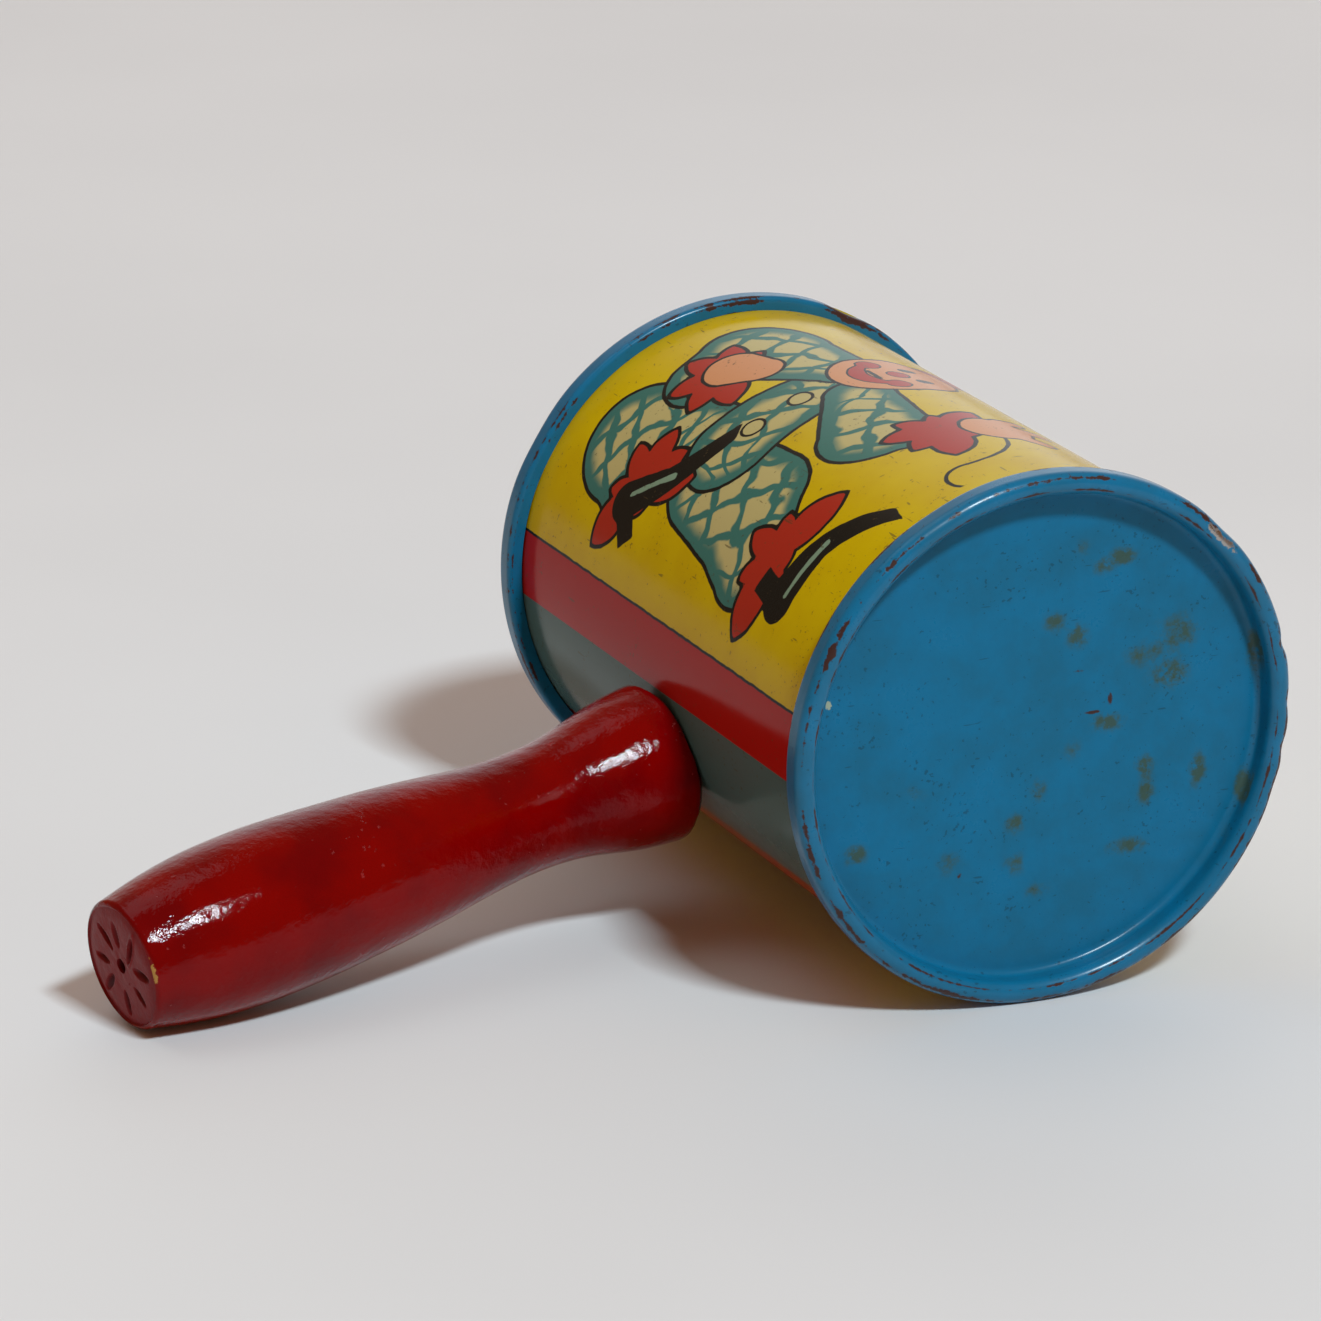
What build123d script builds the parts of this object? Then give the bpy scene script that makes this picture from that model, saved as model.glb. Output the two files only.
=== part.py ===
from build123d import *
import os
from math import cos, degrees, radians, sin, sqrt

# A tinplate rattle noisemaker: a can of loose shot, lying on its side, with a turned
# wooden handle nailed to its wall. It rests on its two seamed rims and on the handle's
# free end. The can's axis runs along Y, the handle points towards -X and +Z is up.
# The origin is on the surface it lies on, in the can's mid-plane, half way between the
# tip of the handle and the far side of the rims. All sizes are in millimetres.

# The can
RIM_RADIUS = 30.0  # outside of the rolled seams
CAN_LENGTH = 80.5  # from the crest of one rim to the crest of the other
SHEET = 0.3  # tinplate thickness
WALL_RADIUS = 28.3  # outside of the printed wall
SEAM_HEIGHT = 3.3  # how far each rim reaches along the wall
PANEL_DEPTH = 3.1  # how far each end panel sits below its crest
RECESS_RADIUS = 27.5  # wall of the recess that the panel sits in
PANEL_CORNER = 0.8  # corner between the panel and the recess wall
HOOK_CORNER = 0.6  # turn of the cap's edge under the wall's flange
HOOK_GAP = 0.05  # air between the cap's hooked edge and the wall
FLANGE_DEPTH = 1.5  # crest to the wall's out-turned flange
FLANGE_RADIUS = 29.6  # edge of that flange
FLANGE_CORNER = 0.6  # turn from the wall into the flange
SIDE_SEAM_AZIMUTH = 22.9  # folded seam along the wall, opposite the handle, from +X
SIDE_SEAM_WIDTH = 3.4
SIDE_SEAM_GAP = 0.1  # between the seam's ends and the cap's hooked edges

# The handle, turned about its own straight axis
FOOT_AZIMUTH = 22.9  # where the handle meets the wall, below -X
FOOT_REACH = 30.87  # can axis to the centre of the handle's widest foot circle
HANDLE_TILT = 8.70  # slope of the handle down towards its free end
HANDLE_LEAN = 10.85  # lean of the handle towards the -Y cap
HANDLE_LENGTH = 69.4  # widest foot circle to the flat free end
HANDLE_SIDE = [  # radius of the handle at a distance along it
    (9.12, 0),
    (8.70, 4.2),
    (7.28, 11.1),
    (6.87, 20.8),
    (8.01, 31.2),
    (8.90, 41.6),
    (9.35, 52.1),
    (8.60, 62.5),
]
END_RADIUS = 7.32  # free end of the handle
END_ROUND = 0.7
FOOT_DOME = 3.0  # how far the domed foot stands past its widest circle
FOOT_SHOULDER = (6.4, -2.0)  # radius and place of the dome's shoulder
CENTRE_HOLE_RADIUS = 0.9  # mark of the lathe's drive centre
CENTRE_HOLE_DEPTH = 3.0
SPUR_COUNT = 8  # slots left by the drive centre's teeth
SPUR_WIDTH = 0.6
SPUR_DEPTH = 0.7
SPUR_INNER = 2.3
SPUR_OUTER = 5.0

# The nail, driven into the handle from inside the can
NAIL_RADIUS = 1.0
NAIL_LENGTH = 28.0  # under the head
NAIL_POINT = 3.0
NAIL_HEAD_RADIUS = 3.0
NAIL_HEAD_THICKNESS = 0.8
NAIL_HEAD_GAP = 1.35  # wall's inner face to the underside of the head, on the nail's axis
NAIL_HOLE_RADIUS = 1.1  # hole pierced in the wall

# The loose shot
SHOT_RADIUS = 2.25
SHOT_CLEARANCE = 0.25  # air between a shot and the wall it rolls round
SHOT_BELOW = 6  # shot on the -Y side of the nail
SHOT_ABOVE = 5  # shot on its +Y side
SHOT_ENDS = 34.0  # farthest shot from the can's mid-plane
SHOT_FROM_NAIL = 6.0  # nearest shot beside the nail's head

# Places worked out from the sizes above
half_length = CAN_LENGTH / 2
wall_bore = WALL_RADIUS - SHEET
tilt = radians(HANDLE_TILT)
lean = radians(HANDLE_LEAN)
outward = Vector(-cos(tilt) * cos(lean), -cos(tilt) * sin(lean), -sin(tilt))
foot_angle = radians(FOOT_AZIMUTH)
foot_offset = Vector(-FOOT_REACH * cos(foot_angle), 0, -FOOT_REACH * sin(foot_angle))
end_flat = (END_RADIUS - END_ROUND) * sqrt(1 - outward.X**2)
tip_reach = end_flat + END_ROUND - foot_offset.X - (HANDLE_LENGTH - END_ROUND) * outward.X
can_x = (tip_reach - RIM_RADIUS) / 2
can_centre = Vector(can_x, 0, RIM_RADIUS)
can_axis = Axis(can_centre, (0, 1, 0))
foot_centre = can_centre + foot_offset
handle_axis = Axis(foot_centre, outward)


def back_to_wall(radius):
    """How far back along the handle's axis, from its foot circle, a cylinder round the can is met."""
    slope = outward.X**2 + outward.Z**2
    half = foot_offset.X * outward.X + foot_offset.Z * outward.Z
    rest = foot_offset.X**2 + foot_offset.Z**2 - radius**2
    return (half - sqrt(half**2 - slope * rest)) / slope


def across_handle(along):
    """A plane square to the handle, a given distance from its foot circle."""
    side = Vector(outward.Z, 0, -outward.X).normalized()
    return Plane(foot_centre + outward * along, x_dir=side, z_dir=outward)


def along_handle():
    """A plane through the handle's axis: x is the radius, y runs towards the free end."""
    side = Vector(outward.Z, 0, -outward.X).normalized()
    return Plane(foot_centre, x_dir=side, z_dir=side.cross(outward))


def through_can(azimuth, y=0):
    """A plane through the can's axis: x is the radius at an azimuth above +X, y runs along +Y."""
    a = radians(azimuth)
    return Plane(can_centre + Vector(0, y, 0), x_dir=(cos(a), 0, sin(a)), z_dir=(-sin(a), 0, cos(a)))


def keep(piece, name):
    """Label a finished piece and write it to its own file."""
    piece.part.label = name
    export_step(piece.part, f"parts/{name}.step")


os.makedirs("parts", exist_ok=True)


# Printed wall: one sheet rolled to a tube, flanged outwards at both ends, with a lock
# seam along the side away from the handle and a hole pierced for the nail.
flange_y = half_length - FLANGE_DEPTH
turn_y = flange_y - FLANGE_CORNER
turn_radius = wall_bore + FLANGE_CORNER
seam_y = half_length - SEAM_HEIGHT - SIDE_SEAM_GAP
seam_arc = degrees(SIDE_SEAM_WIDTH / WALL_RADIUS)
with BuildPart() as drum_wall:
    with BuildSketch(through_can(0)):
        with BuildLine():
            near_flange = Line((FLANGE_RADIUS, -flange_y), (turn_radius, -flange_y))
            near_turn = RadiusArc(near_flange @ 1, (wall_bore, -turn_y), FLANGE_CORNER)
            tube = Line(near_turn @ 1, (wall_bore, turn_y))
            far_turn = RadiusArc(tube @ 1, (turn_radius, flange_y), FLANGE_CORNER)
            Line(far_turn @ 1, (FLANGE_RADIUS, flange_y))
            offset(amount=SHEET, side=Side.RIGHT)
        make_face()
    revolve(axis=can_axis)
    with BuildSketch(through_can(SIDE_SEAM_AZIMUTH - seam_arc / 2)):
        with Locations((wall_bore + SHEET, 0)):
            Rectangle(2 * SHEET, 2 * seam_y)
    revolve(axis=can_axis, revolution_arc=-seam_arc)
    with BuildSketch(across_handle(0)):
        Circle(NAIL_HOLE_RADIUS)
    extrude(amount=-2 * FOOT_DOME - SHEET, mode=Mode.SUBTRACT)
keep(drum_wall, "drum_wall")


# End caps: drawn discs with a sunk panel, a crest rolled over the wall's flange and an
# edge hooked under it. Both are alike and face away from each other.
crest_radius = (RIM_RADIUS - RECESS_RADIUS) / 2


def end_cap(centre_y, inward):
    """One cap, whose crest touches y = centre_y and whose panel sinks the inward way."""
    section = Plane(
        can_centre + Vector(0, centre_y, 0), x_dir=(1, 0, 0), z_dir=(0, 0, inward)
    )
    with BuildPart() as cap:
        with BuildSketch(section):
            with BuildLine():
                panel = Line((0, PANEL_DEPTH), (RECESS_RADIUS - PANEL_CORNER, PANEL_DEPTH))
                corner = RadiusArc(
                    panel @ 1, (RECESS_RADIUS, PANEL_DEPTH - PANEL_CORNER), PANEL_CORNER
                )
                recess = Line(corner @ 1, (RECESS_RADIUS, crest_radius))
                crest = ThreePointArc(
                    recess @ 1,
                    (RECESS_RADIUS + crest_radius, 0),
                    (RIM_RADIUS, crest_radius),
                )
                skirt = Line(crest @ 1, (RIM_RADIUS, SEAM_HEIGHT - HOOK_CORNER))
                hook_turn = RadiusArc(
                    skirt @ 1, (RIM_RADIUS - HOOK_CORNER, SEAM_HEIGHT), -HOOK_CORNER
                )
                Line(hook_turn @ 1, (WALL_RADIUS + HOOK_GAP, SEAM_HEIGHT))
                offset(amount=SHEET, side=Side.LEFT)
            make_face()
        revolve(axis=can_axis)
    return cap


front_cap = end_cap(-half_length, 1)
keep(front_cap, "front_cap")
rear_cap = end_cap(half_length, -1)
keep(rear_cap, "rear_cap")


# Handle: turned hardwood with a bulbous foot, a waist and a belly. The foot is seated
# on the wall, the nail's hole is a press fit, and the flat free end keeps the marks of
# the lathe's drive centre: a centre hole with slots round it.
nail_back = back_to_wall(wall_bore) + NAIL_HEAD_GAP
with BuildPart() as handle:
    with BuildSketch(along_handle()):
        with BuildLine():
            foot = Spline(
                (0, -FOOT_DOME), FOOT_SHOULDER, HANDLE_SIDE[0], tangents=[(1, 0), (0, 1)]
            )
            side = Spline(
                *HANDLE_SIDE,
                (END_RADIUS, HANDLE_LENGTH - END_ROUND),
                tangents=[(0, 1), (END_RADIUS - HANDLE_SIDE[-1][0], 5)],
            )
            end_turn = RadiusArc(side @ 1, (END_RADIUS - END_ROUND, HANDLE_LENGTH), -END_ROUND)
            Polyline(end_turn @ 1, (0, HANDLE_LENGTH), (0, -FOOT_DOME))
        make_face()
    revolve(axis=handle_axis)
    with BuildSketch(Plane(can_centre - Vector(0, half_length, 0), x_dir=(1, 0, 0), z_dir=(0, 1, 0))):
        Circle(WALL_RADIUS)
    extrude(amount=CAN_LENGTH, mode=Mode.SUBTRACT)
    with BuildSketch(across_handle(-nail_back)):
        Circle(NAIL_RADIUS)
    extrude(amount=NAIL_LENGTH, mode=Mode.SUBTRACT)
    with BuildSketch(across_handle(HANDLE_LENGTH)):
        Circle(CENTRE_HOLE_RADIUS)
    extrude(amount=-CENTRE_HOLE_DEPTH, mode=Mode.SUBTRACT)
    with BuildSketch(across_handle(HANDLE_LENGTH)):
        with PolarLocations((SPUR_INNER + SPUR_OUTER) / 2, SPUR_COUNT):
            Rectangle(SPUR_OUTER - SPUR_INNER, SPUR_WIDTH)
    extrude(amount=-SPUR_DEPTH, mode=Mode.SUBTRACT)
keep(handle, "handle")


# Nail: round wire with a flat head inside the can and a point inside the handle.
with BuildPart() as handle_nail:
    with BuildSketch(along_handle()):
        with BuildLine():
            Polyline(
                (0, -nail_back - NAIL_HEAD_THICKNESS),
                (NAIL_HEAD_RADIUS, -nail_back - NAIL_HEAD_THICKNESS),
                (NAIL_HEAD_RADIUS, -nail_back),
                (NAIL_RADIUS, -nail_back),
                (NAIL_RADIUS, -nail_back + NAIL_LENGTH - NAIL_POINT),
                (0, -nail_back + NAIL_LENGTH),
                close=True,
            )
        make_face()
    revolve(axis=handle_axis)
keep(handle_nail, "handle_nail")


# Loose shot: steel balls, each lying in its own slice of the can, on the wall's lowest
# line. One lies in line with the nail, the rest on either side of it.
nail_y = outward.Y * -(nail_back + NAIL_HEAD_THICKNESS / 2)
below = [
    -SHOT_ENDS + i * (SHOT_ENDS - SHOT_FROM_NAIL + nail_y) / (SHOT_BELOW - 1)
    for i in range(SHOT_BELOW)
]
above = [
    SHOT_ENDS - i * (SHOT_ENDS - SHOT_FROM_NAIL - nail_y) / (SHOT_ABOVE - 1)
    for i in range(SHOT_ABOVE)
]
shot_places = below + [nail_y] + above[::-1]
shot_z = RIM_RADIUS - wall_bore + SHOT_CLEARANCE + SHOT_RADIUS
for number, y in enumerate(shot_places, start=1):
    with BuildPart() as shot:
        with Locations((can_x, y, shot_z)):
            Sphere(SHOT_RADIUS)
    keep(shot, f"shot_{number:02d}")

print("can axis at x =", round(can_x, 4), "z =", RIM_RADIUS)
print("handle's foot centre", foot_centre, "direction", outward)
print("handle's end centre", foot_centre + outward * HANDLE_LENGTH)
print("nail underside", round(nail_back, 4), "mm back; nail head at y =", round(nail_y, 3))
print("shot places", [round(y, 3) for y in shot_places], "height", round(shot_z, 3))
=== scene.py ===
import math

import bpy
import numpy as np
from mathutils import Matrix, Vector


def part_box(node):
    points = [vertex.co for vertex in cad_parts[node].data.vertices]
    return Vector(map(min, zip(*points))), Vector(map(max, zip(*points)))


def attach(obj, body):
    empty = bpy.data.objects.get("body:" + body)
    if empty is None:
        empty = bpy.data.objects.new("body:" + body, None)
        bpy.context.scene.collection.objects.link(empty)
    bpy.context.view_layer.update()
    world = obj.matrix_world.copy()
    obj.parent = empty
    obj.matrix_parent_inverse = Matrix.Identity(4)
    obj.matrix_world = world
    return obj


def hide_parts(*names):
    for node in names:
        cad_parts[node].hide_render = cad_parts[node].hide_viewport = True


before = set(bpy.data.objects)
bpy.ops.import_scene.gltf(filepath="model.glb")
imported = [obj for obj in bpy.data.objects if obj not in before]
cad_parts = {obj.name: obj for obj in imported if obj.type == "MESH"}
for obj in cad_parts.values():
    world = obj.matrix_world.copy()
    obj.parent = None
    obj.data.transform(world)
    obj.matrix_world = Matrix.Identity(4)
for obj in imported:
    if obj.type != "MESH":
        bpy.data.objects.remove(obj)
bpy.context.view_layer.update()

# The whole rattle: a tin can lying on its side, its axis along Y, with a wooden handle towards
# -X. Every piece is placed from the can's centre and the radius of its rims.
MM = 0.001
front_low, front_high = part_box("front_cap")
rear_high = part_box("rear_cap")[1]
rim_radius = (front_high.z - front_low.z) / 2
half_length = (rear_high.y - front_low.y) / 2
can_centre = np.array((front_low + rear_high) / 2)


# The camera: a long lens a little above the table, on the handle's side of the front cap.
# Its place is in rim radii from the point on the table below the middle of the can.
CAMERA_PLACE = (-10.437, -20.379, 8.351)
CAMERA_YAW = math.radians(25.03)  # from +Y towards +X
CAMERA_PITCH = math.radians(18.10)  # below the horizon
CAMERA_ROLL = math.radians(1.57)
CAMERA_LENS = 174.2  # mm, on a sensor 36 mm wide
SENSOR_WIDTH = 36.0
NEAREST = 0.01

camera_data = bpy.data.cameras.new("camera")
camera_data.lens = CAMERA_LENS
camera_data.sensor_width = SENSOR_WIDTH
camera_data.clip_start = NEAREST
camera = bpy.data.objects.new("camera", camera_data)
bpy.context.scene.collection.objects.link(camera)
ahead = Vector((
    math.sin(CAMERA_YAW) * math.cos(CAMERA_PITCH),
    math.cos(CAMERA_YAW) * math.cos(CAMERA_PITCH),
    -math.sin(CAMERA_PITCH),
))
level = ahead.cross(Vector((0, 0, 1))).normalized()
upright = level.cross(ahead)
right = math.cos(CAMERA_ROLL) * level + math.sin(CAMERA_ROLL) * upright
above = right.cross(ahead)
stand = Vector(can_centre) - Vector((0, 0, rim_radius)) + Vector(CAMERA_PLACE) * rim_radius
camera.matrix_world = Matrix.Translation(stand) @ Matrix((right, above, -ahead)).transposed().to_4x4()
bpy.context.scene.camera = camera


# The table: plain pale card, matt, with a faint unevenness in its tone.
TABLE_HALF_WIDTH = 6.0
TABLE_COLOUR = (0.785, 0.79, 0.80, 1)
TABLE_SHADE = (0.75, 0.755, 0.765, 1)
TABLE_CLOUDS = 6.0  # to a metre
TABLE_ROUGHNESS = 0.65
TABLE_SPECULAR = 0.25


def wire(tree, kind, sockets=None, **settings):
    """Adds a shader node. A value that is another node's output is linked, any other is set."""
    node = tree.nodes.new(kind)
    for name, value in settings.items():
        setattr(node, name, value)
    for name, value in (sockets or {}).items():
        if isinstance(value, bpy.types.NodeSocket):
            tree.links.new(value, node.inputs[name])
        else:
            node.inputs[name].default_value = value
    return node


def maths(tree, operation, *values):
    """One sum on one, two or three numbers or outputs."""
    return wire(tree, "ShaderNodeMath", dict(enumerate(values)), operation=operation).outputs[0]


def ramp(tree, value, low, high):
    """0 at low and 1 at high, easing in and out between; low may be the larger."""
    sockets = {"Value": value, "From Min": low, "From Max": high}
    return wire(tree, "ShaderNodeMapRange", sockets, interpolation_type="SMOOTHSTEP").outputs[0]


def blended(tree, factor, under, over):
    """The colour under, covered by the colour over as far as factor says."""
    return wire(tree, "ShaderNodeMix", {0: factor, 6: under, 7: over}, data_type="RGBA").outputs[2]


def noise(tree, vector, scale, detail=2.0, roughness=0.5):
    """Cloudy values about 0.5, scale of them to a metre or to the vector's own unit."""
    sockets = {"Vector": vector, "Scale": scale, "Detail": detail, "Roughness": roughness}
    return wire(tree, "ShaderNodeTexNoise", sockets).outputs[0]


def material_with_shader(name):
    """A new material, its node tree and its Principled shader."""
    material = bpy.data.materials.new(name)
    material.use_nodes = True
    return material, material.node_tree, material.node_tree.nodes["Principled BSDF"]


table_material, tree, shader = material_with_shader("pale_card")
card_place = wire(tree, "ShaderNodeTexCoord").outputs["Object"]
card_tone = ramp(tree, noise(tree, card_place, TABLE_CLOUDS, 3.0), 0.3, 0.7)
tree.links.new(blended(tree, card_tone, TABLE_COLOUR, TABLE_SHADE), shader.inputs["Base Color"])
shader.inputs["Roughness"].default_value = TABLE_ROUGHNESS
shader.inputs["Specular IOR Level"].default_value = TABLE_SPECULAR

table_mesh = bpy.data.meshes.new("table")
corner = TABLE_HALF_WIDTH
table_mesh.from_pydata(
    [(-corner, -corner, 0), (corner, -corner, 0), (corner, corner, 0), (-corner, corner, 0)],
    [],
    [(0, 1, 2, 3)],
)
table_mesh.materials.append(table_material)
table = bpy.data.objects.new("table", table_mesh)
bpy.context.scene.collection.objects.link(table)


# The light: a window high in front and a wide pale screen high behind on the handle's side,
# in a dim warm room that is paler low down behind on the right.
ROOM_COLOUR = (1.0, 0.52, 0.27, 1)
PALE_COLOUR = (0.93, 0.97, 1.0, 1)
ROOM_STRENGTH = 0.27
PALE_STRENGTH = 1.1
PALE_SIDE = (0.50, 0.83, 0.25)
PALE_EDGE = 0.70  # cosine of the angle from the pale side at which it has faded out
WINDOW = {"azimuth": 6, "elevation": 51, "distance": 4.0, "size": (0.66, 0.42), "watts": 126.0}
SCREEN = {"azimuth": -140, "elevation": 66, "distance": 4.2, "size": (3.0, 2.4), "watts": 22.6}
DAYLIGHT = (0.79, 0.935, 1.0)

world = bpy.data.worlds.new("room")
world.use_nodes = True
bpy.context.scene.world = world
tree = world.node_tree
looking = wire(tree, "ShaderNodeTexCoord").outputs["Generated"]
towards_pale = wire(
    tree, "ShaderNodeVectorMath", {0: looking, 1: PALE_SIDE}, operation="DOT_PRODUCT"
).outputs["Value"]
pale = ramp(tree, towards_pale, PALE_EDGE, 1.0)
background = tree.nodes["Background"]
tree.links.new(blended(tree, pale, ROOM_COLOUR, PALE_COLOUR), background.inputs["Color"])
strength = maths(tree, "MULTIPLY_ADD", pale, PALE_STRENGTH - ROOM_STRENGTH, ROOM_STRENGTH)
tree.links.new(strength, background.inputs["Strength"])


def soft_panel(name, azimuth, elevation, distance, size, watts):
    """A rectangular light aimed at the can; azimuth is from -Y towards +X."""
    light = bpy.data.lights.new(name, "AREA")
    light.shape = "RECTANGLE"
    light.size, light.size_y = size
    light.energy = watts
    light.color = DAYLIGHT
    lamp = bpy.data.objects.new(name, light)
    bpy.context.scene.collection.objects.link(lamp)
    turn, rise = math.radians(azimuth), math.radians(elevation)
    towards = Vector((math.sin(turn) * math.cos(rise), -math.cos(turn) * math.cos(rise), math.sin(rise)))
    place = Vector(can_centre) + towards * distance
    lamp.matrix_world = Matrix.Translation(place) @ towards.to_track_quat("Z", "Y").to_matrix().to_4x4()


soft_panel("window", **WINDOW)
soft_panel("screen", **SCREEN)
bpy.context.scene.view_settings.view_transform = "Standard"


# The end caps: discs of blue-enamelled tinplate, drawn with a sunk panel and rolled over
# the wall's flange in a rounded crest. Years of knocks have worn the crest to rust, put
# small dents in the rim and left brown stains on the panel.
SHEET = 0.3 * MM
PANEL_DEPTH = 3.1 * MM
RECESS_RADIUS = 27.5 * MM
PANEL_CORNER = 0.8 * MM
SKIRT_HEIGHT = 3.3 * MM
HOOK_CORNER = 0.6 * MM
HOOK_EDGE = 28.35 * MM
CAP_COLUMNS = 288
RIM_START = 26.0 * MM  # knocks and waves fade out from the rim to here
RIM_FADE = 3.0 * MM
CAP_WAVES = 0.10 * MM
PANEL_MIDDLE = 0.4 * MM  # the first ring of points round the panel's centre
STEP = 0.1 * MM  # between the end of one run of points and the start of the next
SHARP = math.radians(50)
# Dents in the rims: place in degrees from +X towards +Z, width in degrees, and how far the
# rim is pushed out there, in mm
FRONT_DENTS = [
    (15.5, 2.0, -0.30), (11, 3.0, 0.06), (2, 2.2, -0.22), (-8, 2.6, -0.30),
    (-17, 4.0, -0.16), (47, 5.0, -0.20), (118, 7.0, -0.12),
]
REAR_DENTS = [
    (64, 5.0, -0.35), (150, 8.0, -0.2), (-100, 6.0, -0.3),
]
# Stains, and small rusty scratches, on the panels: place from the centre along X and Z and
# half-widths both ways, in mm, then strength
FRONT_STAINS = [
    (9.4, 19.1, 1.5, 0.9, 1.3), (7.2, 18.2, 1.2, 0.9, 0.9), (1.5, 12.6, 1.3, 1.2, 0.8),
    (4.5, 10.6, 1.3, 1.3, 1.0), (16.1, 5.0, 2.3, 1.5, 1.0), (16.8, 9.8, 2.6, 2.2, 0.7),
    (12.6, 7.6, 2.4, 1.3, 0.6), (8.6, 0.4, 1.9, 1.1, 1.0), (13.6, -5.2, 1.1, 1.2, 1.2),
    (13.9, -8.3, 0.9, 1.3, 1.1), (20.2, -6.4, 1.0, 1.9, 1.0), (-2.2, -10.0, 1.1, 1.2, 0.9),
    (0.5, -6.4, 1.0, 1.3, 0.7), (25.9, -9.2, 0.9, 2.2, 1.2), (26.4, 7.6, 0.8, 3.0, 1.2),
    (11.9, -14.3, 2.2, 0.9, 1.0), (-21.4, -11.2, 1.3, 1.1, 1.1), (-10.0, -13.6, 1.6, 1.4, 0.6),
    (-2.0, -14.6, 1.2, 1.3, 0.8), (4.6, 20.5, 1.0, 1.2, 0.5), (0.8, -18.0, 1.6, 0.9, 0.6),
    (4.5, -2.4, 1.4, 1.3, 0.4), (-14.5, -5.0, 1.8, 1.0, 0.4), (24.4, -15.8, 1.4, 2.0, 0.9),
]
FRONT_TICKS = [
    (6.8, 1.7, 0.95, 0.20, 1.6), (8.8, 3.0, 0.30, 0.85, 1.4),
    (-8.8, -15.0, 0.22, 0.6, 1.4), (4.8, 6.6, 0.8, 0.16, 1.1),
]
REAR_STAINS = [
    (-8.0, 6.0, 2.5, 1.6, 1.2), (12.0, -9.0, 1.6, 2.2, 1.0), (4.0, 17.0, 1.6, 1.1, 1.0),
    (-17.0, -12.0, 1.4, 2.8, 0.8), (19.0, 5.0, 1.4, 1.9, 0.9), (-3.0, -16.0, 2.2, 1.1, 0.8),
    (9.0, 3.0, 1.2, 1.3, 0.7), (-25.6, 7.0, 0.9, 2.4, 1.1),
]
REAR_TICKS = [(-4.0, 2.0, 0.9, 0.14, 1.3), (14.0, 12.0, 0.15, 0.8, 1.1)]
CHIP = (-25.3, 6.3, 0.55)  # place of a cream chip on the front panel, and its radius, in mm
FRONT_BARE = 46  # where the crest is rubbed down to the tin, in degrees
REAR_BARE = 205
BARE_SPREAD = 7.0
BARE_LINE = 29.1  # radius of that patch and its half-width, in mm
BARE_HALF_WIDTH = 0.6
BARE_DEPTH = 1.5 * MM


def bend(centre, radius, start, end, count):
    """Points on an arc from one angle to another, in degrees, both ends included."""
    angle = np.radians(np.linspace(start, end, count))
    return np.column_stack([centre[0] + radius * np.cos(angle), centre[1] + radius * np.sin(angle)])


def straight(start, end, count):
    """Evenly spaced points from start up to, and not including, end."""
    share = np.linspace(0, 1, count, endpoint=False)[:, None]
    return np.asarray(start) * (1 - share) + np.asarray(end) * share


def beside(path, distance):
    """The path moved sideways by a distance, along its own normals: a sheet's other face."""
    along = np.gradient(path, axis=0)
    along /= np.linalg.norm(along, axis=1, keepdims=True)
    return path + distance * np.column_stack([-along[:, 1], along[:, 0]])


def waves(angle, along, seed, size, count=9, finest=9):
    """A gentle random unevenness: a sum of slanting sine waves that closes round the piece."""
    chance = np.random.default_rng(seed)
    total = np.zeros(np.broadcast(angle, along).shape)
    for turns in chance.integers(1, finest, count):
        phase, slope = chance.uniform(0, 2 * np.pi), chance.uniform(-1, 1)
        total = total + np.sin(turns * angle + slope * turns * along + phase) / turns
    return size * total / 2


def skin(name, points, ends=None):
    """A closed surface on a grid of points whose columns go round. Its rows also close on
    themselves, or end in the two points given as ends. Faces are turned to point outwards."""
    rows, columns = points.shape[:2]
    index = np.arange(rows * columns).reshape(rows, columns)
    if ends is None:
        this, following = index, np.roll(index, -1, axis=0)
    else:
        this, following = index[:-1], index[1:]
    quads = np.stack([this, np.roll(this, -1, 1), np.roll(following, -1, 1), following], -1).reshape(-1, 4)
    places = points.reshape(-1, 3)
    fans = np.zeros((0, 3), int)
    if ends is not None:
        places = np.vstack([places, ends])
        first, last = rows * columns, rows * columns + 1
        start, finish = index[0], index[-1]
        fans = np.vstack([
            np.column_stack([np.full(columns, first), np.roll(start, -1), start]),
            np.column_stack([np.full(columns, last), finish, np.roll(finish, -1)]),
        ])
    middle = places.mean(0)
    a, b, c, d = (places[quads[:, i]] - middle for i in range(4))
    volume = np.einsum("ij,ij->", a, np.cross(b, c)) + np.einsum("ij,ij->", a, np.cross(c, d))
    if volume < 0:
        quads, fans = quads[:, ::-1], fans[:, ::-1]
    mesh = bpy.data.meshes.new(name)
    mesh.from_pydata(places.tolist(), [], quads.tolist() + fans.tolist())
    mesh.shade_smooth()
    mesh.set_sharp_from_angle(angle=SHARP)
    return mesh


def store(mesh, name, columns):
    """Keeps three numbers for each point of a mesh under a name, for its material to read."""
    values = np.column_stack(columns).astype(np.float32)
    spare = np.zeros((len(mesh.vertices) - len(values), 3), np.float32)
    held = mesh.attributes.new(name, "FLOAT_VECTOR", "POINT")
    held.data.foreach_set("vector", np.vstack([values, spare]).ravel())


def show(mesh, material, body, slot, *nodes):
    """Puts a finished mesh in the scene, on its body, in place of the nodes that it stands for."""
    mesh.materials.append(material)
    piece = bpy.data.objects.new(mesh.name, mesh)
    bpy.context.scene.collection.objects.link(piece)
    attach(piece, body)
    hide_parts(*nodes)
    return piece


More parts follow.
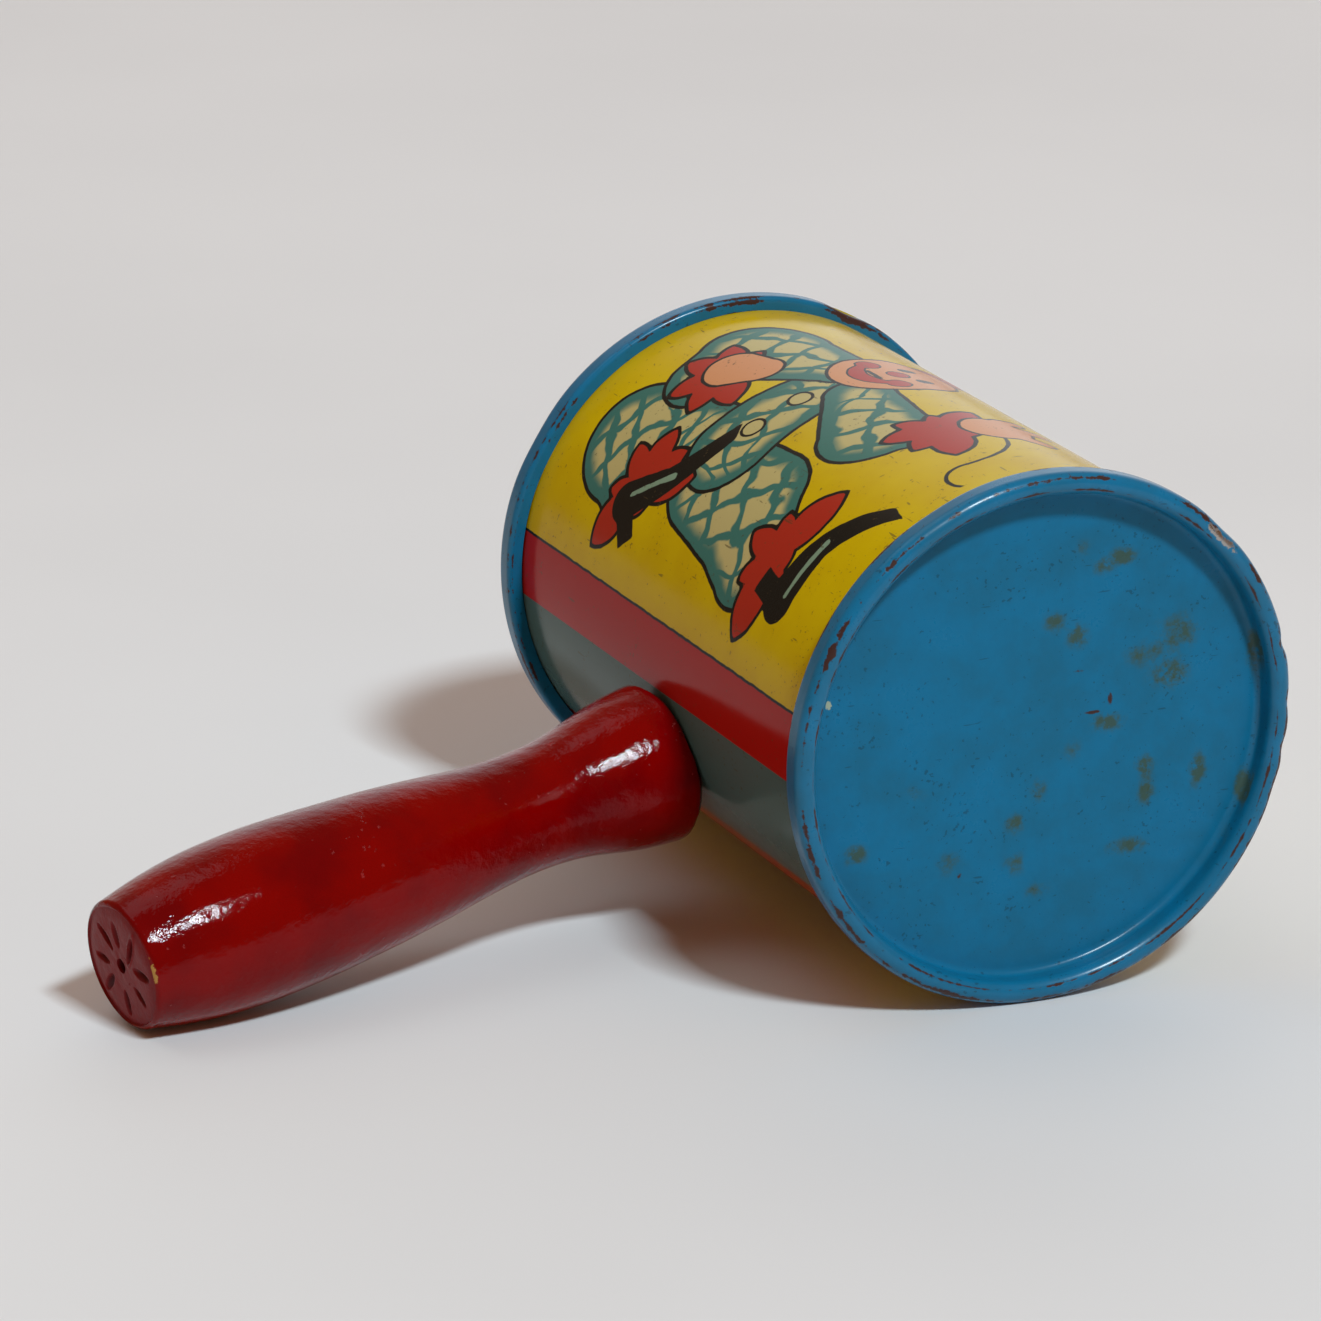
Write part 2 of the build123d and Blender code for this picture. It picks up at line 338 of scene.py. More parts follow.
def cap_path():
    """Radius and depth below the crest of the cap's outside, from the panel's centre out over
    the crest, down the skirt and in under the wall's flange."""
    crest_radius = (rim_radius - RECESS_RADIUS) / 2
    corner_centre = (RECESS_RADIUS - PANEL_CORNER, PANEL_DEPTH - PANEL_CORNER)
    crest_centre = (RECESS_RADIUS + crest_radius, crest_radius)
    hook_centre = (rim_radius - HOOK_CORNER, SKIRT_HEIGHT - HOOK_CORNER)
    return np.vstack([
        straight((PANEL_MIDDLE, PANEL_DEPTH), (corner_centre[0], PANEL_DEPTH), 92),
        bend(corner_centre, PANEL_CORNER, 90, 0, 8),
        straight((RECESS_RADIUS, corner_centre[1] - STEP), (RECESS_RADIUS, crest_radius), 3),
        bend(crest_centre, crest_radius, 180, 360, 22),
        straight((rim_radius, crest_radius + STEP), (rim_radius, hook_centre[1]), 4),
        bend(hook_centre, HOOK_CORNER, 0, 90, 7),
        straight((hook_centre[0] - STEP, SKIRT_HEIGHT), (HOOK_EDGE, SKIRT_HEIGHT), 3),
        [(HOOK_EDGE, SKIRT_HEIGHT)],
    ])


def spots(x, z, stains):
    """How stained each point is: a soft oval spot for each stain, added together."""
    total = np.zeros(x.shape)
    for at_x, at_z, half_x, half_z, strength in stains:
        far = ((x - at_x) / half_x) ** 2 + ((z - at_z) / half_z) ** 2
        total = total + strength * np.exp(-far)
    return total


def end_cap(node, end, inward, dents, stains, ticks, bare, seed):
    """One cap: its path turned round the can's axis, bent by its dents, with the stains stored."""
    outside = cap_path()
    path = np.vstack([outside, beside(outside, SHEET)[::-1]])
    angle = np.linspace(0, 2 * np.pi, CAP_COLUMNS, endpoint=False)
    radius, depth = path[:, :1], path[:, 1:]
    rim = np.clip((radius - RIM_START) / RIM_FADE, 0, 1)
    out = waves(angle, radius / rim_radius, seed, CAP_WAVES) * rim
    for place, width, size in dents:
        apart = (np.degrees(angle) - place + 180) % 360 - 180
        out = out + size * MM * np.exp(-((apart / width) ** 2)) * rim**3
    sink = waves(angle, 3 * radius / rim_radius, seed + 1, CAP_WAVES)
    sink = sink * np.sin(np.pi * radius / rim_radius)
    reach = radius + out
    x, z = reach * np.cos(angle), reach * np.sin(angle)
    y = can_centre[1] + end * half_length + inward * (depth + sink) + 0 * angle
    points = np.stack([can_centre[0] + x, y, can_centre[2] + z], -1)
    mesh = skin(node + "_enamelled", points, [points[0].mean(0), points[-1].mean(0)])
    stained = spots(x / MM, z / MM, stains) * (depth > 0.5 * PANEL_DEPTH)
    chip = np.hypot(x / MM - CHIP[0], z / MM - CHIP[1]) - CHIP[2]
    if end > 0:
        chip = chip + rim_radius / MM
    ring = (radius + 0 * angle) / MM
    store(mesh, "wear", [stained.ravel(), chip.ravel(), ring.ravel()])
    ticked = spots(x / MM, z / MM, ticks) * (depth > 0.5 * PANEL_DEPTH)
    apart = (np.degrees(angle) - bare + 180) % 360 - 180
    off_line = (radius / MM - BARE_LINE) / BARE_HALF_WIDTH
    rubbed = np.exp(-((apart / BARE_SPREAD) ** 2) - off_line**2) * (depth < BARE_DEPTH)
    store(mesh, "marks", [ticked.ravel(), rubbed.ravel(), (depth / MM + 0 * angle).ravel()])
    show(mesh, cap_material, "can", "blue_tinplate", node)


def new_group(name, inputs, outputs):
    """An empty shader group with named sockets, and its inner input and output sockets."""
    made = bpy.data.node_groups.new(name, "ShaderNodeTree")
    for socket, kind in inputs.items():
        made.interface.new_socket(socket, in_out="INPUT", socket_type="NodeSocket" + kind)
    for socket, kind in outputs.items():
        made.interface.new_socket(socket, in_out="OUTPUT", socket_type="NodeSocket" + kind)
    return made, made.nodes.new("NodeGroupInput").outputs, made.nodes.new("NodeGroupOutput").inputs


def placed(tree, made, **sockets):
    """A group placed in a material, with its values. A socket's spaces are written as _."""
    values = {name.replace("_", " "): value for name, value in sockets.items()}
    return wire(tree, "ShaderNodeGroup", values, node_tree=made).outputs


SPECK_LIMIT = 0.80  # the level that no speck passes when its amount is nothing
SCUFF_LIMIT = 0.85
SPECK_SOFTNESS = 0.05
SCUFF_SOFTNESS = 0.04


def build_fine_specks():
    """Fine specks: a fine noise, swollen in patches, that passes a limit set by the amount."""
    made, given, out = new_group(
        "fine specks", {"Place": "Vector", "Spacing": "Float", "Amount": "Float"}, {"Mask": "Float"}
    )
    speck = noise(made, given["Place"], given["Spacing"], 2.0, 0.6)
    patch = noise(made, given["Place"], maths(made, "MULTIPLY", given["Spacing"], 0.12), 2.0)
    level = maths(made, "MULTIPLY_ADD", maths(made, "SUBTRACT", patch, 0.5), 0.35, speck)
    limit = maths(made, "SUBTRACT", SPECK_LIMIT, given["Amount"])
    mask = ramp(made, maths(made, "SUBTRACT", level, limit), 0.0, SPECK_SOFTNESS)
    made.links.new(mask, out["Mask"])
    return made


CHIPS_TO_A_METRE = 800.0
RUBS_TO_A_METRE = 150.0


def build_worn_edge():
    """Paint rubbed off along a line: a band about a given radius whose width comes and goes."""
    made, given, out = new_group(
        "worn edge",
        {"Place": "Vector", "Radius": "Float", "Line": "Float", "Width": "Float", "Gaps": "Float"},
        {"Mask": "Float"},
    )
    broken = noise(made, given["Place"], CHIPS_TO_A_METRE, 4.0, 0.65)
    coarse = noise(made, given["Place"], RUBS_TO_A_METRE, 2.0)
    present = maths(made, "MULTIPLY_ADD", broken, 0.45, maths(made, "MULTIPLY", coarse, 0.55))
    ragged = maths(made, "MULTIPLY", maths(made, "SUBTRACT", present, given["Gaps"]), 8.0)
    away = maths(made, "ABSOLUTE", maths(made, "SUBTRACT", given["Radius"], given["Line"]))
    reach = maths(made, "MULTIPLY", given["Width"], ragged)
    made.links.new(ramp(made, maths(made, "SUBTRACT", reach, away), 0.0, 0.12), out["Mask"])
    return made


def build_scuffs():
    """Short fine scratches lying every way: stretched noise, turned by patches."""
    made, given, out = new_group(
        "scuffs", {"Place": "Vector", "Spacing": "Float", "Amount": "Float"}, {"Mask": "Float"}
    )
    marks = []
    for turn, stretch in (((0.5, 0.9, 0.2), (1.0, 0.12, 1.0)), ((0.2, -0.6, 1.1), (0.14, 1.0, 1.0))):
        sockets = {"Vector": given["Place"], "Rotation": turn, "Scale": stretch}
        turned = wire(made, "ShaderNodeMapping", sockets).outputs[0]
        line = noise(made, turned, given["Spacing"], 1.0)
        patch = noise(made, turned, maths(made, "MULTIPLY", given["Spacing"], 0.3), 2.0)
        marks.append(maths(made, "MULTIPLY_ADD", maths(made, "SUBTRACT", patch, 0.5), 0.5, line))
    limit = maths(made, "SUBTRACT", SCUFF_LIMIT, given["Amount"])
    level = maths(made, "SUBTRACT", maths(made, "MAXIMUM", *marks), limit)
    made.links.new(ramp(made, level, 0.0, SCUFF_SOFTNESS), out["Mask"])
    return made


fine_specks = build_fine_specks()
worn_edge = build_worn_edge()
scuffs = build_scuffs()

# The enamel's colours, its marks to a metre, and its gloss
CAP_BLUE = (0.0020, 0.152, 0.308, 1)
CAP_BLUE_DULL = (0.005, 0.125, 0.235, 1)
STAIN_BROWN = (0.048, 0.072, 0.024, 1)
TICK_RUST = (0.048, 0.022, 0.020, 1)
RUST_BROWN = (0.045, 0.015, 0.012, 1)
GRIME_BLUE = (0.004, 0.040, 0.070, 1)
CHIP_CREAM = (0.34, 0.40, 0.30, 1)
BARE_METAL = (0.42, 0.40, 0.38, 1)
CAP_CLOUDS = 130.0
CAP_SPECKS = 1700.0
CAP_SCUFFS = 2300.0
CAP_MOTTLE = 820.0
CAP_GRAIN = 520.0
CAP_ROUGHNESS = 0.27
CAP_SPECULAR = 0.18
CREST_COAT = 0.35
CREST_COAT_ROUGHNESS = 0.2
# Lines along which the crest is worn: radius of two of them and depth of the third, in mm
OUTER_WEAR = 29.5
INNER_WEAR = 28.2
EDGE_WEAR = 2.9

cap_material, tree, shader = material_with_shader("blue_enamel_on_tin")
enamel_place = wire(tree, "ShaderNodeTexCoord").outputs["Object"]
wear = wire(tree, "ShaderNodeAttribute", attribute_name="wear").outputs["Vector"]
stain_level, chip_distance, ring_radius = wire(tree, "ShaderNodeSeparateXYZ", {0: wear}).outputs
marks = wire(tree, "ShaderNodeAttribute", attribute_name="marks").outputs["Vector"]
tick_level, bare_level, below_crest = wire(tree, "ShaderNodeSeparateXYZ", {0: marks}).outputs
tone = ramp(tree, noise(tree, enamel_place, CAP_CLOUDS, 5.0, 0.65), 0.32, 0.72)
colour = blended(tree, tone, CAP_BLUE, CAP_BLUE_DULL)
speck_mask = placed(tree, fine_specks, Place=enamel_place, Spacing=CAP_SPECKS, Amount=0.135)["Mask"]
scuff_mask = placed(tree, scuffs, Place=enamel_place, Spacing=CAP_SCUFFS, Amount=0.06)["Mask"]
grime_mask = maths(tree, "MAXIMUM", speck_mask, scuff_mask)
colour = blended(tree, maths(tree, "MULTIPLY", grime_mask, 0.55), colour, GRIME_BLUE)
mottle = noise(tree, enamel_place, CAP_MOTTLE, 5.0, 0.72)
stain_edge = maths(tree, "MULTIPLY", stain_level, maths(tree, "MULTIPLY_ADD", mottle, 5.0, -1.5))
stain_mask = ramp(tree, stain_edge, 0.05, 1.05)
colour = blended(tree, maths(tree, "MULTIPLY", stain_mask, 0.8), colour, STAIN_BROWN)
tick_edge = maths(tree, "MULTIPLY", tick_level, maths(tree, "MULTIPLY_ADD", mottle, 2.4, -0.4))
tick_mask = ramp(tree, tick_edge, 0.35, 0.75)
colour = blended(tree, tick_mask, colour, TICK_RUST)
outer_wear = placed(
    tree, worn_edge, Place=enamel_place, Radius=ring_radius, Line=OUTER_WEAR, Width=0.34, Gaps=0.460
)["Mask"]
inner_wear = placed(
    tree, worn_edge, Place=enamel_place, Radius=ring_radius, Line=INNER_WEAR, Width=0.17, Gaps=0.435
)["Mask"]
edge_wear = placed(
    tree, worn_edge, Place=enamel_place, Radius=below_crest, Line=EDGE_WEAR, Width=0.34, Gaps=0.455
)["Mask"]
on_skirt = ramp(tree, ring_radius, OUTER_WEAR - 0.3, OUTER_WEAR)
worn = maths(tree, "MAXIMUM", outer_wear, maths(tree, "MULTIPLY", edge_wear, on_skirt))
rust_mask = maths(tree, "MAXIMUM", inner_wear, worn)
colour = blended(tree, rust_mask, colour, RUST_BROWN)
bare_edge = maths(tree, "MULTIPLY", bare_level, maths(tree, "MULTIPLY_ADD", mottle, 4.0, -1.2))
bare_mask = ramp(tree, bare_edge, 0.35, 0.6)
colour = blended(tree, bare_mask, colour, BARE_METAL)
chip_mask = ramp(tree, maths(tree, "MULTIPLY_ADD", mottle, 1.3, chip_distance), 0.7, 0.55)
colour = blended(tree, chip_mask, colour, CHIP_CREAM)
tree.links.new(colour, shader.inputs["Base Color"])
tree.links.new(bare_mask, shader.inputs["Metallic"])
on_crest = ramp(tree, ring_radius, INNER_WEAR - 1.6, INNER_WEAR - 0.6)
crest_gloss = maths(tree, "MULTIPLY", on_crest, CREST_COAT)
tree.links.new(crest_gloss, shader.inputs["Coat Weight"])
shader.inputs["Coat Roughness"].default_value = CREST_COAT_ROUGHNESS
shader.inputs["Specular IOR Level"].default_value = CAP_SPECULAR
gloss = maths(tree, "MULTIPLY_ADD", maths(tree, "MAXIMUM", rust_mask, stain_mask), 0.3, CAP_ROUGHNESS)
tree.links.new(maths(tree, "MULTIPLY_ADD", tone, 0.08, gloss), shader.inputs["Roughness"])
grain = noise(tree, enamel_place, CAP_GRAIN, 4.0, 0.6)
height = maths(tree, "MULTIPLY_ADD", rust_mask, -0.5, maths(tree, "MULTIPLY", grain, 0.8))
bump = wire(tree, "ShaderNodeBump", {"Strength": 0.45, "Distance": 0.00012, "Height": height})
tree.links.new(bump.outputs[0], shader.inputs["Normal"])

end_cap("front_cap", -1, 1, FRONT_DENTS, FRONT_STAINS, FRONT_TICKS, FRONT_BARE, 11)
end_cap("rear_cap", 1, -1, REAR_DENTS, REAR_STAINS, REAR_TICKS, REAR_BARE, 23)


# The wall: one sheet of tinplate, printed flat in six inks and varnished, then rolled up,
# locked along a folded seam opposite the handle and flanged outwards under both caps.
# The print is a mustard ground with a jester in a netted suit, and stripes by the handle.
WALL_RADIUS = 28.3 * MM
FLANGE_Y = 38.75 * MM
FLANGE_RADIUS = 29.6 * MM
FLANGE_TURN = 0.6 * MM
FLANGE_EASE = 0.2 * MM
WALL_COLUMNS = 440
WALL_ROWS = 186
HANDLE_PLACE = -22.9  # degrees from -X towards +Z, as are all places round the wall
SEAM_PLACE = 157.1
SEAM_WIDTH = 3.4 * MM
JESTER_PLACE = 60.0
OTHER_JESTER_PLACE = 240.0
NET = 5.4  # mesh of the suit's net, in mm
SEAM_FOLD = 0.35 * MM  # width of the seam's sloping edge
SEAM_REACH = 36.9 * MM
SEAM_END = 0.3 * MM
WALL_WAVES = 0.06 * MM
OTHER_JESTER_END = 320  # the second jester's side runs from the seam to here


def ball(a, v, centre, radius):
    """Distance from the edge of a disc, less than nothing inside it."""
    return np.hypot(a - centre[0], v - centre[1]) - radius


def limb(a, v, start, start_radius, end, end_radius):
    """Distance from the edge of a bar with round ends, which widens from one end to the other."""
    along = np.array([end[0] - start[0], end[1] - start[1]])
    share = ((a - start[0]) * along[0] + (v - start[1]) * along[1]) / (along @ along)
    share = np.clip(share, 0, 1)
    away = np.hypot(a - start[0] - share * along[0], v - start[1] - share * along[1])
    return away - (start_radius + share * (end_radius - start_radius))


def leaf(a, v, centre, turn, length, half_width):
    """Distance from the edge of a pointed leaf, which is what two overlapping discs share."""
    turn = math.radians(turn)
    along = (a - centre[0]) * math.cos(turn) + (v - centre[1]) * math.sin(turn) - length / 2
    across = np.abs((v - centre[1]) * math.cos(turn) - (a - centre[0]) * math.sin(turn))
    radius = ((length / 2) ** 2 + half_width**2) / (2 * half_width)
    return np.hypot(along, across + radius - half_width) - radius


def ruff(a, v, centre, heart, leaves):
    """A frill: a round heart with a leaf for each direction and length."""
    parts = [leaf(a, v, centre, turn, length, 0.27 * length) for turn, length in leaves]
    return np.minimum.reduce(parts + [ball(a, v, centre, heart)])


def shoe(a, v, heel, turn, side):
    """A curled slipper: a crescent with a round heel end and a square heel. Its second
    answer is the pale glint along it."""
    turn = math.radians(turn)
    x = (a - heel[0]) * math.cos(turn) + (v - heel[1]) * math.sin(turn)
    y = side * ((v - heel[1]) * math.cos(turn) - (a - heel[0]) * math.sin(turn))
    sole = ball(x, y, (6.6, 15.6), 17.4)
    top = ball(x, y, (7.0, 21.0), 19.2)
    crescent = np.maximum.reduce([sole, -top, 0.8 - x, x - 18.6])
    instep = limb(x, y, (2.2, 0.6), 2.5, (8.5, 0.2), 1.9)
    block = np.maximum(np.abs(x - 2.2) - 1.5, np.abs(y + 3.0) - 1.7)
    glint = limb(x, y, (3.2, 1.1), 0.30, (10.5, 0.4), 0.45)
    return np.minimum.reduce([crescent, instep, block]), glint


def netting(a, v, centre, radius, turn):
    """Two counts of the net's strings, drawn as if it were stretched over a ball."""
    turn = math.radians(turn)
    x = (a - centre[0]) * math.cos(turn) + (v - centre[1]) * math.sin(turn)
    y = (v - centre[1]) * math.cos(turn) - (a - centre[0]) * math.sin(turn)
    height = np.sqrt(np.maximum(radius**2 - x**2 - y**2, (0.35 * radius) ** 2))
    return radius * np.arctan2(x, height) / NET, radius * np.arctan2(y, height) / NET


def jester(a, v):
    """The drawing, as distances in mm from the edge of each ink; a runs along the can
    towards the front cap and v round it from the jester's middle towards its head."""
    ink = {}
    ink["right_leg"] = np.minimum(
        limb(a, v, (-3, -8), 7.0, (7, -8.6), 8.2), limb(a, v, (7, -8.6), 8.2, (13.5, -13.0), 6.4)
    )
    ink["left_leg"] = np.minimum(
        limb(a, v, (-9, -4), 5.5, (-23, -9.0), 8.3), limb(a, v, (-23, -9.0), 8.3, (-17.5, -14.0), 5.0)
    )
    ink["torso"] = limb(a, v, (-6, 11), 5.2, (-5.0, -3.5), 6.8)
    ink["right_arm"] = np.minimum(
        limb(a, v, (-1.5, 11.5), 4.2, (10.5, 7.4), 6.8), limb(a, v, (10.5, 7.4), 6.8, (14.5, 12), 4.8)
    )
    ink["left_arm"] = np.minimum(
        limb(a, v, (-10, 14.0), 4.5, (-22.5, 9.5), 8.2), limb(a, v, (-22.5, 9.5), 8.2, (-22.0, 2.5), 6.0)
    )
    parts = ["right_leg", "left_leg", "torso", "right_arm", "left_arm"]
    middles = [(6, -8), (-22, -9), (-6, 3), (9, 8), (-21, 9)]
    spreads = [15, 12, 12, 10.5, 12]
    turns = [38, 52, 40, 58, 34]
    counts = np.zeros((2,) + a.shape)
    for part, middle, spread, turn in zip(parts, middles, spreads, turns):
        counts = np.where(ink[part] < 0, netting(a, v, middle, spread, turn), counts)
    ink["net_one"], ink["net_other"] = counts
    ink["frills"] = np.minimum.reduce([
        ruff(a, v, (-20.5, 4.2), 4.2, [
            (196, 7.6), (150, 7.2), (108, 5.6), (246, 7.8), (292, 8.0), (334, 8.6),
        ]),
        ruff(a, v, (15.0, 14.2), 4.0, [
            (136, 8.6), (178, 5.4), (224, 6.6), (262, 8.0), (302, 7.6), (338, 9.4),
        ]),
        ruff(a, v, (-15.0, -13.6), 3.6, [
            (28, 10.0), (62, 8.0), (100, 8.6), (142, 7.4), (196, 6.2), (238, 10.0),
        ]),
        ruff(a, v, (18.8, -11.5), 2.6, [
            (84, 10.4), (128, 6.4), (172, 7.6), (222, 6.8), (262, 10.6), (306, 7.0),
        ]),
        limb(a, v, (-9.5, 24.5), 3.8, (-13.5, 33.5), 0.6),
    ])
    left_shoe, left_glint = shoe(a, v, (-17.5, -17.5), 42, 1)
    right_shoe, right_glint = shoe(a, v, (22.4, -17.5), 78, -1)
    ink["shoes"] = np.minimum(left_shoe, right_shoe)
    ink["glints"] = np.minimum(left_glint, right_glint)
    ink["skin"] = np.minimum.reduce([
        limb(a, v, (-7.5, 17.6), 6.6, (-7.8, 20.0), 6.4),
        limb(a, v, (-20.6, 4.9), 3.9, (-17.6, 6.6), 3.0),
        ball(a, v, (15.5, 19.8), 4.2),
        limb(a, v, (12.2, 22.0), 1.3, (11.4, 24.6), 1.0),
        limb(a, v, (15.0, 23.0), 1.5, (15.0, 26.0), 1.1),
        limb(a, v, (18.6, 21.6), 1.4, (20.6, 23.6), 1.1),
    ])
    smile = np.maximum(ball(a, v, (-7.5, 17.6), 4.3), -ball(a, v, (-7.5, 20.2), 4.6))
    ink["blush"] = np.minimum.reduce([
        smile, ball(a, v, (-7.5, 19.3), 1.35), ball(a, v, (-11.6, 17.4), 1.5), ball(a, v, (-3.5, 17.4), 1.5)
    ])
    ink["eyes_and_mouth"] = np.minimum.reduce([
        limb(a, v, (-9.9, 21.2), 0.75, (-9.9, 22.1), 0.65),
        limb(a, v, (-5.2, 21.2), 0.75, (-5.2, 22.1), 0.65),
        limb(a, v, (-9.2, 16.2), 0.3, (-5.8, 16.2), 0.3),
    ])
    ink["pompoms"] = np.minimum.reduce([
        ball(a, v, (-13.6, 34.0), 1.9), ball(a, v, (-5.6, 6.0), 1.5), ball(a, v, (-5.2, -0.5), 1.5)
    ])
    upper = ball(a, v, (18.0, 9.8), 9.0)
    lower = -ball(a, v, (30.4, 9.8), 3.4)
    ink["string"] = np.where(v > 9.8, upper, lower)
    ink["string_end"] = np.maximum(16.2 - a, a - 32.3)
    return ink


def wall_path():
    """Radius and place along Y of the wall's section: the outside from the front flange to
    the rear one, then back along the inside."""
    turn_y = FLANGE_Y - FLANGE_TURN
    tube_end = turn_y - FLANGE_EASE
    front = bend((WALL_RADIUS - SHEET + FLANGE_TURN, -turn_y), FLANGE_TURN - SHEET, 270, 180, 6)
    rear = bend((WALL_RADIUS - SHEET + FLANGE_TURN, turn_y), FLANGE_TURN - SHEET, 180, 90, 6)
    tube = straight((WALL_RADIUS, -tube_end), (WALL_RADIUS, tube_end), WALL_ROWS)
    edge_y = FLANGE_Y - SHEET
    outside = np.vstack([[(FLANGE_RADIUS, -edge_y)], front, tube, rear, [(FLANGE_RADIUS, edge_y)]])
    bore = WALL_RADIUS - SHEET
    back = bend((bore + FLANGE_TURN, turn_y), FLANGE_TURN, 90, 180, 6)
    fore = bend((bore + FLANGE_TURN, -turn_y), FLANGE_TURN, 180, 270, 6)
    inside = np.vstack([[(FLANGE_RADIUS, FLANGE_Y)], back, [(bore, 0)], fore, [(FLANGE_RADIUS, -FLANGE_Y)]])
    return outside, inside


outside, inside = wall_path()
path = np.vstack([outside, inside])
place = np.linspace(0, 360, WALL_COLUMNS, endpoint=False)
turned = np.radians(place)
radius, along = path[:, :1], path[:, 1:]
from_seam = np.abs((place - SEAM_PLACE + 180) % 360 - 180) * np.radians(1) * WALL_RADIUS
fold = np.clip((SEAM_WIDTH / 2 - from_seam) / SEAM_FOLD + 0.5, 0, 1)
fold = fold * np.clip((SEAM_REACH - np.abs(along)) / SEAM_END, 0, 1)
reach = radius + SHEET * fold + waves(turned, along / WALL_RADIUS, 5, WALL_WAVES)
points = np.stack([
    can_centre[0] - reach * np.cos(turned),
    can_centre[1] + along + 0 * reach,
    can_centre[2] + reach * np.sin(turned),
], -1)
wall_mesh = skin("drum_wall_printed", points)

on_other = (place > SEAM_PLACE) & (place < OTHER_JESTER_END)
to_mm = math.radians(1) * WALL_RADIUS / MM
drawn_v = np.where(on_other, OTHER_JESTER_PLACE - place, place - JESTER_PLACE) * to_mm
drawn_a = np.where(on_other, 1, -1) * along / MM
ink = jester(drawn_a, drawn_v + 0 * drawn_a)
from_handle = np.abs((place - HANDLE_PLACE + 180) % 360 - 180) * to_mm + 0 * along
rolled_in = np.arange(len(path))[:, None] >= len(outside)
flat = {name: values.ravel() for name, values in ink.items()}
store(wall_mesh, "legs_and_torso", [flat["right_leg"], flat["left_leg"], flat["torso"]])
store(wall_mesh, "arms_and_frills", [flat["right_arm"], flat["left_arm"], flat["frills"]])
store(wall_mesh, "shoes_and_skin", [flat["shoes"], flat["glints"], flat["skin"]])
store(wall_mesh, "face_and_pompoms", [flat["blush"], flat["eyes_and_mouth"], flat["pompoms"]])
store(wall_mesh, "net_and_stripes", [flat["net_one"], flat["net_other"], from_handle.ravel()])
side = (rolled_in + 0 * from_handle).ravel()
store(wall_mesh, "string_and_side", [flat["string"], flat["string_end"], side])


INK_EDGE = 0.05  # softness of a printed edge, and of a drawn line's, in mm
LINE_EDGE = 0.06
DRAWN_LINE = 0.27  # half-widths of the drawing's lines, in mm
FINE_LINE = 0.17
EDGE_SHADE = 2.4  # how far teal reaches in from the edge of the suit, in mm


def build_printed_part():
    """One ink laid over the last: flat inside its edge, with a dark line drawn on the edge."""
    made, given, out = new_group(
        "printed part",
        {"Under": "Color", "Ink": "Color", "Line Ink": "Color", "Distance": "Float", "Line": "Float"},
        {"Colour": "Color"},
    )
    inside_edge = ramp(made, given["Distance"], INK_EDGE, -INK_EDGE)
    filled = blended(made, inside_edge, given["Under"], given["Ink"])
    away = maths(made, "SUBTRACT", maths(made, "ABSOLUTE", given["Distance"]), given["Line"])
    lined = blended(made, ramp(made, away, LINE_EDGE, -LINE_EDGE), filled, given["Line Ink"])
    made.links.new(lined, out["Colour"])
    return made


def build_netted_part():
    """A part of the suit: cream diamonds between teal strings, all teal towards its edge."""
    made, given, out = new_group(
        "netted part",
        {"Under": "Color", "Teal": "Color", "Cream": "Color", "Line Ink": "Color", "Distance": "Float",
         "Strings": "Float", "Uneven": "Float"},
        {"Colour": "Color"},
    )
    depth = maths(made, "MULTIPLY", given["Distance"], -1)
    depth = maths(made, "MULTIPLY_ADD", given["Uneven"], -EDGE_SHADE, depth)
    inner = ramp(made, depth, 0.4, 2.3)
    diamonds = ramp(made, given["Strings"], 0.090, 0.145)
    suit = blended(made, maths(made, "MULTIPLY", inner, diamonds), given["Teal"], given["Cream"])
    sockets = {"Under": given["Under"], "Ink": suit, "Line_Ink": given["Line Ink"]}
    drawn = placed(made, printed_part, **sockets, Distance=given["Distance"], Line=DRAWN_LINE)
    made.links.new(drawn["Colour"], out["Colour"])
    return made


printed_part = build_printed_part()
netted_part = build_netted_part()

MUSTARD = (0.63, 0.45, 0.0, 1)
MUSTARD_DULL = (0.56, 0.37, 0.0, 1)
STRIPE_RED = (0.40, 0.010, 0.006, 1)
STRIPE_TEAL = (0.068, 0.118, 0.104, 1)
BLACK_INK = (0.010, 0.011, 0.009, 1)
TEAL_INK = (0.045, 0.165, 0.135, 1)
GLINT_INK = (0.20, 0.30, 0.20, 1)
CREAM_INK = (0.50, 0.42, 0.17, 1)
RED_INK = (0.40, 0.026, 0.012, 1)
SKIN_INK = (0.62, 0.27, 0.115, 1)
BARE_TIN = (0.62, 0.61, 0.58, 1)
SOIL = (0.070, 0.050, 0.020, 1)
STRIPE_HALF = 8.15  # half-widths about the handle, in mm
STRIPE_OUTER = 15.96
PRINT_SHAKE = 550.0  # noises, to a metre
GROUND_CLOUDS = 60.0
NET_SLACK = 130.0
PRINT_SPECKS = 2000.0
PRINT_SCUFFS = 2300.0
SUIT_SHADE = 210.0
VARNISH_RIPPLE = 900.0
VARNISH_ROUGHNESS = 0.10
VARNISH_SPECULAR = 0.09

wall_material, tree, shader = material_with_shader("printed_tinplate")
print_place = wire(tree, "ShaderNodeTexCoord").outputs["Object"]


def stored(name):
    """The three numbers kept for each point of the wall under a name."""
    held = wire(tree, "ShaderNodeAttribute", attribute_name=name).outputs["Vector"]
    return wire(tree, "ShaderNodeSeparateXYZ", {0: held}).outputs


shaky = maths(tree, "SUBTRACT", noise(tree, print_place, PRINT_SHAKE, 2.0), 0.5)


def drawn_edge(output):
    """A stored distance with the small wobble of a hand-cut edge."""
    return maths(tree, "MULTIPLY_ADD", shaky, 0.28, output)


